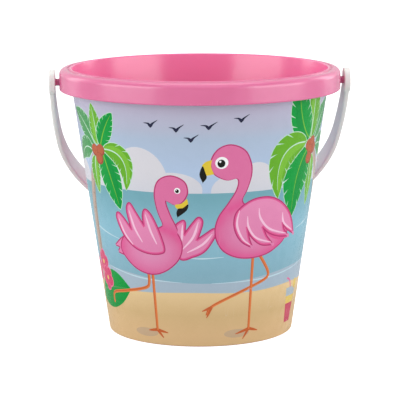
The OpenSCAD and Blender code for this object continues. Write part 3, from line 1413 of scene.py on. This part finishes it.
class DancingFlamingo(Flamingo):
    """The flamingo with both wings lifted."""

    def wings(self) -> tuple[list[Patch], list[Patch]]:
        """Return the far wing and the near wing, each with three feathers.

        Returns:
            The patches of each wing.
        """
        far = smooth([
            (-20, 76), (-15, 82.2), (-12.9, 81), (-13.6, 73.4), (-13.6, 73.4), (-8, 81), (-4.3, 84.6),
            (-2.2, 81), (-5.6, 70.2), (-5.6, 70.2), (0, 74), (5.2, 77.2), (6.4, 74), (0, 63.8),
            (-8, 59.6), (-17, 58.6),
        ])
        near = smooth([
            (-30.5, 76), (-34.6, 85), (-38.4, 88.4), (-40.4, 84.6), (-40.2, 77.6), (-40.2, 77.6),
            (-45.6, 86), (-49.6, 91.4), (-52.4, 87), (-50.2, 74.6), (-50.2, 74.6), (-56, 81.4),
            (-60.4, 84.2), (-62, 80.4), (-57.4, 70.6), (-49, 63.4), (-39, 60.4), (-30, 60.8), (-27, 64),
        ])
        far_streaks = self.streaks([
            [(-14.4, 80), (-15, 73), (-15.6, 68)],
            [(-4.6, 82), (-8, 72), (-15, 64)],
            [(4, 74), (-2, 67.4), (-12, 62)],
        ])
        near_streaks = self.streaks([
            [(-60.2, 80.6), (-56.4, 71.6), (-50, 64.6)],
            [(-50.6, 87), (-47.6, 76), (-42.4, 67)],
            [(-38.6, 85.4), (-35.8, 75), (-32, 66.6)],
        ])
        first = feathered(far, (60, Ink.PINK), (84, Ink.PINK_LIGHT)) + far_streaks
        return first, feathered(near, (60, Ink.PINK), (88, Ink.PINK_LIGHT)) + near_streaks

    def patches(self) -> list[Patch]:
        """Return the bird, from the back to the front.

        Returns:
            The patches.
        """
        far, near = self.wings()
        tail = smooth([
            (-50, 72), (-59, 68), (-66.6, 62.4), (-66.6, 62.4), (-62.4, 61.6), (-64.6, 58.4),
            (-64.6, 58.4), (-58.4, 57.6), (-50, 60),
        ])
        body = smooth([
            (-24, 79), (-17.6, 73), (-15.4, 65), (-18.6, 56.6), (-27, 49.8), (-37, 47), (-48, 49.2),
            (-57, 55.4), (-61, 62), (-56, 70), (-44, 74), (-32, 76),
        ])
        neck = smooth([
            (-18.4, 76), (-22, 85), (-24.4, 92), (-24.6, 95.4), (-22.6, 95), (-18, 93), (-13.6, 95.6),
            (-11.2, 101), (-13.2, 107.4), (-20.6, 110.6), (-28, 107.4), (-31, 99.4), (-29.8, 89),
            (-27, 81), (-25, 74),
        ])
        join = smooth([(-26, 81), (-20.6, 81), (-17.8, 74), (-22, 68), (-28, 73)])
        kick = [(-40, 49), (-39.8, 41.6), (-43, 37.4), (-60, 33.4), (-77, 29.6), (-78.6, 22.6)]
        made = far + self.leg(kick)
        made += self.foot(-36.3, 10.2, [(-43.6, 9.2), (-31.4, 5), (-27.8, 8.6)])
        made += self.leg([(-36.6, 50), (-36.4, 30), (-36.2, 10)])
        paint = self.plump(middle=(-37, 62), size=(24, 16))
        made += lined(tail, (58, Ink.PINK), (70, Ink.PINK_LIGHT))
        made += swollen(body, paint) + swollen(neck, paint) + [Patch(join, paint)]
        made += near + self.eye(-17, 101.6, 1.9)
        base = [
            (-11.2, 96.8), (-11.2, 96.8), (-10.7, 93), (-13.4, 90.2), (-17.4, 90.2), (-18.6, 92.6),
            (-14.6, 93.6),
        ]
        tip = [
            (-10.6, 93.2), (-11.6, 89.2), (-17.4, 84.6), (-17.4, 84.6), (-18, 87.4), (-16.8, 90.2),
            (-13.8, 90.8),
        ]
        return made + self.beak(base, tip)


class WalkingFlamingo(Flamingo):
    """The flamingo with folded wings and one foot held back."""

    def patches(self) -> list[Patch]:
        """Return the bird, from the back to the front.

        Returns:
            The patches.
        """
        body = smooth([
            (12, 108.8), (18, 109.6), (19.8, 106.6), (18.4, 100.6), (13.6, 92.6), (8.4, 85), (6.2, 77),
            (7.4, 69.4), (12, 62.8), (20.6, 58.6), (31, 57.4), (42, 58.6), (51, 62), (58, 67), (60, 76),
            (46, 86), (28, 90), (22, 94.6), (24.8, 102), (27, 111), (26.2, 118.6), (22, 126.4),
            (14, 130), (7, 127.4), (3.2, 120.4), (4.6, 113),
        ])
        wing = smooth([
            (20, 88), (18, 81), (19.6, 74), (24, 68), (31, 64.2), (31, 64.2), (28.4, 70), (26.6, 77.4),
            (26.6, 77.4), (30.6, 70.6), (38, 65.2), (47.4, 64.2), (47.4, 64.2), (41.6, 70),
            (37.8, 76.6), (37.8, 76.6), (44, 72), (53, 69), (62, 68), (62, 68), (57, 72), (54.6, 77.4),
            (54.6, 77.4), (60, 72.6), (68, 68.6), (68, 68.6), (64.6, 76.6), (59, 84.4), (50, 91.6),
            (40, 95.2), (29, 94.2),
        ])
        under = smooth([(38, 76), (43.8, 70), (52, 66.6), (62.4, 66.6), (62.4, 66.6), (55, 71), (45, 74)])
        streaks = self.streaks([
            [(34.2, 89), (36, 82), (44, 74.4), (59.4, 69.6)],
            [(26.6, 84.4), (27.8, 77), (34, 69.6), (46, 65.6)],
            [(21, 88.4), (19.8, 79), (24, 70), (29.6, 65.6)],
            [(53.8, 84), (56, 77), (65.8, 70.8)],
        ])
        made = self.leg([(37, 59), (45.4, 47.6), (46, 43.6), (41.6, 41), (24, 35), (5, 27), (1, 21)])
        for toe in ((-2.4, 23.6), (0.8, 19.2)):
            made.append(patch(ribbon([(4.4, 26.4), toe], (2, 1.6, 0.5)), Ink.LEG_SHADE))
        made += self.foot(33.4, 10.4, [(22.8, 7.6), (28.8, 3.8), (41.4, 8.4)])
        made += self.leg([(32.4, 60), (32.8, 34), (33.3, 10)])
        made += swollen(body, self.plump(middle=(32, 75), size=(27, 18)))
        made.append(patch(under, Ink.PINK_WARM))
        made += feathered(wing, (66, Ink.PINK), (92, Ink.PINK_LIGHT)) + streaks + self.eye(9, 119.2, 3.8)
        base = [
            (3.4, 121.2), (3.4, 121.2), (-0.2, 120), (-2.4, 117), (-0.6, 111.6), (4.6, 112.2),
            (4.6, 112.2), (2.9, 117),
        ]
        tip = [(-2, 117.4), (-3.8, 112), (-1.9, 106.8), (-1.9, 106.8), (0.4, 110), (-0.6, 114)]
        return made + self.beak(base, tip)


@dataclass(frozen=True)
class BeachPrint:
    """Everything that is printed on the wrap.

    Attributes:
        reach: How far the sheet runs to each side of the front, in millimetres.
        low: Height of its lower edge.
        high: Height of its upper edge.
    """

    reach: float
    low: float
    high: float

    def left_palm(self) -> Palm:
        """Return the palm to the left of the front.

        Returns:
            The palm.
        """
        light, dark, teal = Ink.LEAF_LIGHT, Ink.LEAF_DARK, Ink.LEAF_TEAL
        return Palm(
            trunk=((-78.6, 119), (-85, 103), (-89.5, 84), (-91.6, 60), (-92, 36)),
            widths=(4.0, 6.0, 8.0, 9.5),
            fronds=(
                Frond((-75, 126), (-84, 141), (-100, 146), 7.5, teal),
                Frond((-79, 122), (-90, 127), (-101, 113), 7, teal),
                Frond((-76.4, 118.6), (-80.6, 108), (-77.6, 94.6), 5.2, light),
                Frond((-71.4, 126), (-72, 138), (-73.8, 152.4), 6.0, light),
                Frond((-69.4, 125.6), (-64.4, 137.6), (-56, 148), 6.4, dark),
                Frond((-68, 121.6), (-63, 106), (-57.6, 86.6), 8.8, dark),
                Frond((-67, 124), (-44.6, 126), (-51, 99.6), 6.6, light),
            ),
            nuts=((-76, 122.4), (-69.8, 123), (-72, 117.4)),
        )

    def right_palm(self) -> Palm:
        """Return the palm to the right of the front.

        Returns:
            The palm.
        """
        light, dark, teal = Ink.LEAF_LIGHT, Ink.LEAF_DARK, Ink.LEAF_TEAL
        return Palm(
            trunk=((83, 119), (95, 103), (102, 80), (106, 36)),
            widths=(4.4, 6.4, 8.4, 10),
            fronds=(
                Frond((80, 128), (86, 142), (98, 152), 8, teal),
                Frond((84, 123), (97, 127), (107, 111), 7.5, teal),
                Frond((79, 118), (82, 104), (80.6, 85), 5.6, light),
                Frond((75, 129), (75, 146), (74, 170), 7.6, light),
                Frond((72.6, 129), (59, 139), (56, 170), 9.6, dark),
                Frond((72, 122), (60, 110), (62.8, 79.6), 13, dark),
                Frond((70, 127), (39.4, 131), (48, 93.4), 9.6, light),
            ),
            nuts=((80.4, 122), (73.6, 124.6), (77.8, 126), (76.4, 120.6), (75.6, 116)),
        )

    def flowers(self) -> list[Patch]:
        """Return the big leaf and the pink flowers at the foot of the left palm.

        Each flower is five pairs of discs, one fifth of a turn apart, round a small middle.

        Returns:
            The patches, from the back to the front.
        """
        leaf = smooth([
            (-100, 24), (-92, 38), (-80, 44.4), (-68, 42.8), (-56.4, 34.6), (-56.4, 34.6), (-66, 24.8),
            (-79, 19.2), (-92, 19.4),
        ])
        rib = ribbon([(-98, 28), (-78, 33), (-58, 34.6)], (1.2, 0.9, 0.3))
        made = [patch(leaf, (19, Ink.LEAF_DEEP), (44, Ink.LEAF_DARK)), patch(rib, Ink.LEAF_TEAL)]
        for s, z, turns in ((-103, 41, 0.5), (-89, 48, 0.2), (-84.8, 38, 0.9)):
            for i in range(5):
                a = turns + 2 * math.pi * i / 5
                for out, wide, ink in ((4.4, 4.1, Ink.PETAL_LIGHT), (4.0, 3.6, Ink.PETAL)):
                    petal = ellipse(s + out * math.cos(a), z + out * math.sin(a), wide, wide, 20)
                    made.append(patch(petal, ink))
            made.append(patch(ellipse(s, z, 1.5, 1.5, 16), Ink.JUICE_TOP))
        return made

    def drink(self) -> list[Patch]:
        """Return the layered drink with its straw.

        Returns:
            The straw, the three layers of the glass and the slice of fruit.
        """
        middle, foot, foot_z, taper = 77.4, 4.6, 8, 0.13

        def layer(low: float, high: float, ink: Ink) -> Patch:
            """Return one layer of the tapering glass, from one height to another."""
            below, above = (foot + taper * (z - foot_z) for z in (low, high))
            corners = ((-below, low), (below, low), (above, high), (-above, high))
            return patch([(middle + s, z) for s, z in corners], ink)

        return [
            patch(ribbon([(78, 26), (73.6, 36), (68.6, 38.6)], (1.3, 1.3), 4), Ink.PINK_DEEP),
            layer(8.4, 21, Ink.JUICE),
            layer(21, 26, Ink.JUICE_TOP),
            layer(26, 31.6, Ink.ICE),
            patch(ellipse(83.4, 33, 3.4, 3.4, 24), Ink.JUICE_TOP),
        ]

    def patches(self) -> list[Patch]:
        """Return every patch, with those that cross the joint of the film drawn at both ends.

        Returns:
            The patches, from the back to the front.
        """
        left, right = self.left_palm().patches(), self.right_palm().patches()
        dancing, walking = DancingFlamingo().patches(), WalkingFlamingo().patches()
        flowers = self.flowers()
        front = left + right + flowers + self.drink() + dancing + walking
        back = moved(left, 280) + moved(right, -280)
        back += moved(flowers, 96, mirror=True)
        back += moved(walking, -120, mirror=True)
        back += moved(dancing, 112, mirror=True)
        round_again = [p for p in back if np.abs(p.outline[:, 0]).max() > self.reach]
        for way in (-2, 2):
            back += moved(round_again, way * self.reach)
        return Seascape(self.reach, self.low, self.high).patches() + back + front


# ------------------------------------------------------------------ the printed film


@dataclass
class PrintedWrap:
    """The in-mould film round the pail, printed with the beach.

    Attributes:
        pail: The driving sizes.
        gap: Width of the gap where the film's ends meet at the back.
        scale: Radius at which the print is drawn at its true width, in millimetres.
        column: Widest spacing of points round the pail, in millimetres of the print.
        row: Widest spacing of points up the wall.
        lift: How far the film stands proud of the wall.
        tuck: How far it turns in over the foot's rounding, in millimetres.
        fold: How deep its edges are turned in.
        low: Height of its lower edge in millimetres.
        high: Height of its upper edge in millimetres.
    """

    pail: Pail = PAIL
    gap: float = 0.8 * MM
    scale: float = 71.0
    column: float = 3.1
    row: float = 6.3
    lift: float = 0.06 * MM
    tuck: float = 0.9
    fold: float = 0.2 * MM
    low: float = field(init=False)
    high: float = field(init=False)

    def __post_init__(self) -> None:
        """Take the film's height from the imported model."""
        lowest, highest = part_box("printed_label")
        self.low, self.high = lowest[2] / MM - self.tuck, highest[2] / MM

    @property
    def reach(self) -> float:
        """Half of the print's length round the pail, in millimetres."""
        return math.pi * self.scale

    def triangles(self, patches: Sequence[Patch]) -> tuple[np.ndarray, np.ndarray]:
        """Cut the sheet into triangles that follow every outline.

        The sheet is a grid of points, closer together over the foot's rounding. The grid's lines and
        every outline are edges of the triangles. Points nearer than merged become one, triangles
        smaller than sliver are left out, and so is all that lies off the sheet.

        Args:
            patches: What is printed.

        Returns:
            The flat points, and the triangles, counter-clockwise.
        """
        merged, sliver = 1e-5, 1e-9
        columns = np.linspace(-self.reach, self.reach, 1 + math.ceil(2 * self.reach / self.column))
        straight = self.low + 1.3 * self.tuck
        rows = np.linspace(straight, self.high, 1 + math.ceil((self.high - straight) / self.row))
        rows = np.concatenate([np.linspace(self.low, straight, 5)[:-1], rows])
        points = [(s, z) for z in rows for s in columns]
        wide = len(columns)
        edges = [(r * wide + c, r * wide + c + 1) for r in range(len(rows)) for c in range(wide - 1)]
        edges += [(r * wide + c, (r + 1) * wide + c) for r in range(len(rows) - 1) for c in range(wide)]
        for shape in patches:
            start, count = len(points), len(shape.outline)
            points += shape.outline.tolist()
            edges += [(start + i, start + (i + 1) % count) for i in range(count)]
        cut = geometry.delaunay_2d_cdt([Vector(p) for p in points], edges, [], 0, merged, False)
        flat, faces = np.array([tuple(v) for v in cut[0]]), np.array(cut[2])
        a, b, c = (flat[faces[:, i]] for i in range(3))
        along, up = b - a, c - a
        area = along[:, 0] * up[:, 1] - along[:, 1] * up[:, 0]
        s, z = ((a + b + c) / 3).T
        on_sheet = (np.abs(s) < self.reach) & (z > self.low) & (z < self.high)
        faces = np.where((area > 0)[:, None], faces, faces[:, ::-1])
        return flat, faces[on_sheet & (np.abs(area) > sliver)]

    def colours(self, patches: Sequence[Patch], flat: np.ndarray, faces: np.ndarray) -> np.ndarray:
        """Return the ink at each corner of each triangle, from the topmost patch over its middle.

        Args:
            patches: What is printed.
            flat: The flat points.
            faces: The triangles.

        Returns:
            Linear colours with alpha, one row a triangle and corner.
        """
        middle = flat[faces].mean(1)
        top = np.zeros(len(faces), int)
        for number, shape in enumerate(patches):
            top[shape.covers(middle)] = number
        inks = np.ones((len(faces), 3, 4))
        for number in np.unique(top):
            chosen = top == number
            inks[chosen, :, :3] = patches[number].paint.at(flat[faces[chosen]])
        return inks

    def wrapped(self, flat: np.ndarray, depth: float) -> tuple[np.ndarray, np.ndarray]:
        """Wrap flat points round the wall.

        A point at s goes to the angle s over the scale, drawn in a little so that the ends leave
        the gap, and lies at the wall's radius there.

        Args:
            flat: Points of the flat print.
            depth: How far under the film's face they lie.

        Returns:
            The points in metres, and the outward unit normals.
        """
        z = flat[:, 1] * MM
        radius = self.pail.face(z) + self.lift - depth
        turn = flat[:, 0] / self.scale * (1 - self.gap / (2 * math.pi * radius))
        points = np.stack([radius * np.sin(turn), -radius * np.cos(turn), z], 1)
        step = 0.02 * MM
        slope = (self.pail.face(z + step) - self.pail.face(z - step)) / (2 * step)
        normals = np.stack([np.sin(turn), -np.cos(turn), -slope], 1) / np.hypot(1, slope)[:, None]
        return points, normals

    def folded(self, faces: np.ndarray, count: int) -> np.ndarray:
        """Return the triangles that fold the film's open edges in.

        A side of a triangle is open where no other triangle has it the other way round. Two
        triangles join each open side to the same side of the folded copy, whose points are
        numbered after those of the face.

        Args:
            faces: The triangles of the film's face.
            count: How many points the face has.

        Returns:
            The triangles.
        """
        sides = np.vstack([faces[:, [0, 1]], faces[:, [1, 2]], faces[:, [2, 0]]]).tolist()
        seen = set(map(tuple, sides))
        start, end = np.array([(a, b) for a, b in sides if (b, a) not in seen]).T
        return np.vstack([np.c_[end, start, start + count], np.c_[end, start + count, end + count]])

    def dress(self) -> bpy.types.Object:
        """Build the film, colour it, give it its finish and fix it to the bucket.

        Returns:
            The finished piece.
        """
        patches = BeachPrint(self.reach, self.low, self.high).patches()
        flat, faces = self.triangles(patches)
        inks = self.colours(patches, flat, faces)
        used, faces = np.unique(faces, return_inverse=True)
        flat, faces = flat[used], faces.reshape(-1, 3)
        face_points, normals = self.wrapped(flat, 0.0)
        points = np.vstack([face_points, self.wrapped(flat, self.fold)[0]])
        folded = self.folded(faces, len(flat))
        piece = build("printed_wrap", points, np.vstack([faces, folded]))
        mesh = piece.data
        mesh.shade_smooth()
        ink = mesh.color_attributes.new(WRAP_FILM.ink, "FLOAT_COLOR", "CORNER")
        edge_inks = np.ones((len(folded), 3, 4)) * rgba(Ink.FILM_EDGE.value)
        ink.data.foreach_set("color", np.vstack([inks, edge_inks]).astype(np.float32).ravel())
        a, b, c = (points[folded[:, i]] for i in range(3))
        edge_normals = np.cross(b - a, c - a)
        edge_normals /= np.linalg.norm(edge_normals, axis=1, keepdims=True)
        corners = np.vstack([normals[faces].reshape(-1, 3), np.repeat(edge_normals, 3, 0)])
        mesh.normals_split_custom_set(corners.tolist())
        mesh.materials.append(WRAP_FILM.material())
        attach(piece, "bucket")
        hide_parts("printed_label")
        LOG.info("%s: %d patches, %d faces", piece.name, len(patches), len(mesh.polygons))
        return piece


# ------------------------------------------------------------------ the handle


@dataclass
class Bail:
    """The white handle: a flat strap with a slightly bowed limb on each side and a round grip.

    Attributes:
        pivot: Height of the pivot line.
        span: Half the distance between the middles of the limbs at the pivots.
        bow_radius: Radius of each limb's bow.
        bow: Angle of each limb's bow, in degrees.
        thick: Thickness of the strap.
        wide: Width of the strap.
        edge: Rounding of the strap's long edges.
        eye: Radius of the eye.
        eye_thick: Thickness of the eye.
        bore: Radius of the hole for the peg.
        recess: Radius and depth of the recess for the peg's head.
        tilt: Angle below the horizontal at rest, in degrees.
    """

    pivot: float = PAIL.pivot
    span: float = 94.5 * MM
    bow_radius: float = 350 * MM
    bow: float = 7.6
    thick: float = 3.4 * MM
    wide: float = 14.4 * MM
    edge: float = 1.2 * MM
    eye: float = 8 * MM
    eye_thick: float = 4 * MM
    bore: float = 2.28 * MM
    recess: tuple[float, float] = (3.3 * MM, 1.6 * MM)
    tilt: float = 53.8

    def path(self) -> tuple[np.ndarray, np.ndarray]:
        """Return the strap's middle line in its own plane, with the outward directions.

        Each limb is an arc of the bow's radius that starts square to the pivot line. The grip is
        the arc that carries on from both without a corner. The strap starts beside the bore.

        Returns:
            Points and unit vectors, from the +X pivot round to the -X one.
        """
        bow = math.radians(self.bow)
        start = math.asin((self.recess[0] + 0.04 * MM) / self.bow_radius)
        limb_end = self.span - self.bow_radius * (1 - math.cos(bow))
        grip = limb_end / math.cos(bow)
        rise = (self.bow_radius - grip) * math.sin(bow)
        limb = np.linspace(start, bow, 14, endpoint=False)
        bowed_in = self.bow_radius * (1 - np.cos(limb))
        limb_line = np.stack([self.span - bowed_in, self.bow_radius * np.sin(limb)], 1)
        turn = np.linspace(bow, math.pi - bow, 150)
        round_line = np.stack([grip * np.cos(turn), rise + grip * np.sin(turn)], 1)
        angles = np.concatenate([limb, turn, math.pi - limb[::-1]])
        line = np.vstack([limb_line, round_line, limb_line[::-1] * [-1, 1]])
        return line, np.stack([np.cos(angles), np.sin(angles)], 1)

    def section(self) -> Outline:
        """Return the strap's section, across its thickness and its width, with rounded corners.

        Returns:
            The outline, counter-clockwise. Its second half is the first, turned by 180 degrees.
        """
        half_t, half_w, r = self.thick / 2, self.wide / 2, self.edge
        x, y = half_t - r, half_w - r
        half = np.vstack([
            arc((x, y), r, 0, 90, 8),
            stretch((x, half_w), (-x, half_w), 1 * MM, 0.15 * MM)[1:-1],
            arc((-x, y), r, 90, 180, 8),
            stretch((-half_t, y), (-half_t, -y), 3 * MM, 0.4 * MM)[1:-1],
        ])
        return np.vstack([half, -half])

    def strap(self) -> tuple[np.ndarray, list[list[int]]]:
        """Sweep the section along the path.

        Returns:
            The points in the handle's own plane, and the faces.
        """
        line, out = self.path()
        section = self.section()
        flat = line[:, None, :] + out[:, None, :] * section[None, :, :1]
        height = np.broadcast_to(section[None, :, 1:], (*flat.shape[:2], 1))
        points = np.concatenate([flat, height], -1).reshape(-1, 3)
        count = len(section)
        last = (len(line) - 1) * count
        faces = grid_faces(len(line), count, False, True).tolist()
        return points, faces + [list(range(count)), list(range(last, last + count))]

    def ring(self, side: int) -> tuple[np.ndarray, np.ndarray]:
        """Turn one eye, with its bore and its recess, about the pivot line.

        Args:
            side: 1 for the eye on +X, -1 for the one on -X.

        Returns:
            The points in the handle's own plane, and the faces.
        """
        half, soft, small = self.eye_thick / 2, self.edge / 2, 0.25 * MM
        wide, deep = self.recess
        profile = np.vstack([
            stretch((self.bore, -half + small), (self.bore, half - deep - small), 1 * MM, 0.1 * MM),
            arc((self.bore + small, half - deep - small), small, 180, 90, 5)[1:],
            stretch((self.bore + small, half - deep), (wide, half - deep), 0.5 * MM, 0.1 * MM)[1:],
            stretch((wide, half - deep), (wide, half - small), 0.8 * MM, 0.1 * MM)[1:],
            arc((wide + small, half - small), small, 180, 90, 6)[1:],
            stretch((wide + small, half), (self.eye - soft, half), 1.5 * MM, 0.2 * MM)[1:],
            arc((self.eye - soft, half - soft), soft, 90, 0, 8)[1:],
            stretch((self.eye, half - soft), (self.eye, -half + soft), 1 * MM, 0.15 * MM)[1:],
            arc((self.eye - soft, -half + soft), soft, 0, -90, 8)[1:],
            stretch((self.eye - soft, -half), (self.bore + small, -half), 1.5 * MM, 0.2 * MM)[1:],
            arc((self.bore + small, -half + small), small, 270, 180, 6)[1:-1],
        ])
        turns = 96
        a = np.linspace(0, 2 * math.pi, turns, endpoint=False)[:, None]
        r, x = profile[:, 0][None, :], profile[:, 1][None, :]
        points = np.stack([side * (self.span + x + 0 * a), r * np.cos(a), r * np.sin(a)], -1)
        return points.reshape(-1, 3), grid_faces(turns, len(profile), True, True)

    def dress(self) -> bpy.types.Object:
        """Build the handle at its rest angle, give it its finish and fix it to its own body.

        Returns:
            The finished piece.
        """
        points, faces = self.strap()
        for side in (-1, 1):
            more, ring = self.ring(side)
            faces += (ring + len(points)).tolist()
            points = np.vstack([points, more])
        turn = np.array(Matrix.Rotation(-math.radians(self.tilt), 3, "X"))
        piece = soften(build("bail_handle", points @ turn.T + [0, 0, self.pivot], faces), 35)
        piece.data.materials.append(WHITE_PLASTIC.material())
        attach(piece, "handle")
        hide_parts("handle")
        LOG.info("%s: %d faces", piece.name, len(piece.data.polygons))
        return piece


# ------------------------------------------------------------------ the studio


@dataclass(frozen=True)
class Softbox:
    """A rectangular light.

    Attributes:
        name: Its name.
        place: Where it stands, in metres.
        size: Its width and height.
        power: Its power in watts.
    """

    name: str
    place: tuple[float, float, float]
    size: tuple[float, float]
    power: float

    def hang(self, aim: Vector) -> bpy.types.Object:
        """Put the light in the scene, turned to a point.

        Args:
            aim: The point it shines at.

        Returns:
            The lamp.
        """
        data = bpy.data.lights.new(self.name, "AREA")
        data.shape = "RECTANGLE"
        data.size, data.size_y = self.size
        data.energy = self.power
        lamp = bpy.data.objects.new(self.name, data)
        bpy.context.collection.objects.link(lamp)
        lamp.location = self.place
        lamp.rotation_mode = "QUATERNION"
        lamp.rotation_quaternion = (aim - lamp.location).to_track_quat("-Z", "Y")
        return lamp


@dataclass
class Studio:
    """The white studio: floor, surroundings, lights and camera.

    Attributes:
        aim: The point in the middle of the picture.
        distance: From the camera to the pail's axis.
        elevation: Of the camera above the horizon, in degrees.
        azimuth: Of the camera from the front towards -X, in degrees.
        roll: How far the picture is turned, in degrees.
        lens: Focal length in millimetres.
        film: Width of the camera's film in millimetres.
        front: Brightness of the surroundings behind the camera.
        back: Brightness of the surroundings behind the object.
        seen: Brightness of the surroundings to the camera's eye.
        middle: Where the lights are aimed.
    """

    aim: tuple[float, float, float] = (-0.00017, 0.0, 0.0831)
    distance: float = 1.3165
    elevation: float = 10.0
    azimuth: float = 2.7
    roll: float = 0.22
    lens: float = 182.8
    film: float = 36.0
    front: float = 0.45
    back: float = 0.82
    seen: float = 1.05
    middle: tuple[float, float, float] = (0.0, 0.0, 0.09)

    def surroundings(self) -> None:
        """Make the world white to the eye, and as a light bright behind and dark in front."""
        world = bpy.data.worlds.new("studio_world")
        bpy.context.scene.world = world
        world.use_nodes = True
        g = Graph(world.node_tree)
        way = g.node("ShaderNodeTexCoord", output="Generated")
        back = g.node("ShaderNodeSeparateXYZ", None, {"Vector": way}, "Y").over(-0.4, 0.35)
        seen = g.node("ShaderNodeLightPath", output="Is Camera Ray")
        lit = self.front + (self.back - self.front) * back
        strength = lit + (self.seen - lit) * seen
        background = g.tree.nodes["Background"]
        g.feed(background, "Color", (1.0, 1.0, 1.0, 1.0))
        g.feed(background, "Strength", strength)

    def floor(self) -> bpy.types.Object:
        """Lay the floor.

        Returns:
            The floor.
        """
        half = 8.0
        corners = np.array([(-half, -half, 0), (half, -half, 0), (half, half, 0), (-half, half, 0)])
        floor = build("studio_floor", corners, [(0, 1, 2, 3)])
        floor.data.materials.append(StudioFloor().material())
        return floor

    def lights(self) -> None:
        """Hang the softboxes."""
        for box in (
            Softbox("left_softbox", (-1.35, -0.72, 0.45), (1.5, 1.0), 12.0),
            Softbox("right_softbox", (1.35, -0.72, 0.45), (1.5, 1.0), 12.0),
            Softbox("key_softbox", (0, -1.15, 1.3), (1.5, 0.7), 2.0),
            Softbox("top_softbox", (0, 0.1, 1.5), (1.2, 1.0), 5.0),
            Softbox("left_strip", (-1.3, 0.9, 0.45), (0.5, 1.2), 3.5),
            Softbox("right_strip", (1.3, 0.9, 0.45), (0.5, 1.2), 3.5),
        ):
            box.hang(Vector(self.middle))

    def camera(self) -> bpy.types.Object:
        """Set up the camera and make it the scene's own.

        It stands at aim + back * distance, where back is (-sin a cos e, -cos a cos e, sin e) for the
        azimuth a and the elevation e.

        Returns:
            The camera.
        """
        data = bpy.data.cameras.new("studio_camera")
        data.sensor_width, data.lens = self.film, self.lens
        data.clip_start, data.clip_end = 0.05, 40.0
        camera = bpy.data.objects.new("studio_camera", data)
        bpy.context.collection.objects.link(camera)
        turn, rise = math.radians(self.azimuth), math.radians(self.elevation)
        level = math.cos(rise)
        back = Vector((-math.sin(turn) * level, -math.cos(turn) * level, math.sin(rise)))
        aim = Vector(self.aim)
        camera.location = aim + back * self.distance
        look = (-back).to_track_quat("-Z", "Y")
        camera.rotation_mode = "QUATERNION"
        tilt = Matrix.Rotation(-math.radians(self.roll), 3, "Z").to_quaternion()
        camera.rotation_quaternion = look @ tilt
        bpy.context.scene.camera = camera
        return camera

    def set_up(self) -> None:
        """Build the whole studio."""
        bpy.context.scene.view_settings.view_transform = "Standard"
        self.surroundings()
        self.floor()
        self.lights()
        self.camera()


def main() -> None:
    """Build the object and the studio."""
    logging.basicConfig(level=logging.INFO, format="%(name)s: %(message)s")
    Shell().dress()
    PrintedWrap().dress()
    Bail().dress()
    Studio().set_up()


if __name__ == "__main__":
    main()
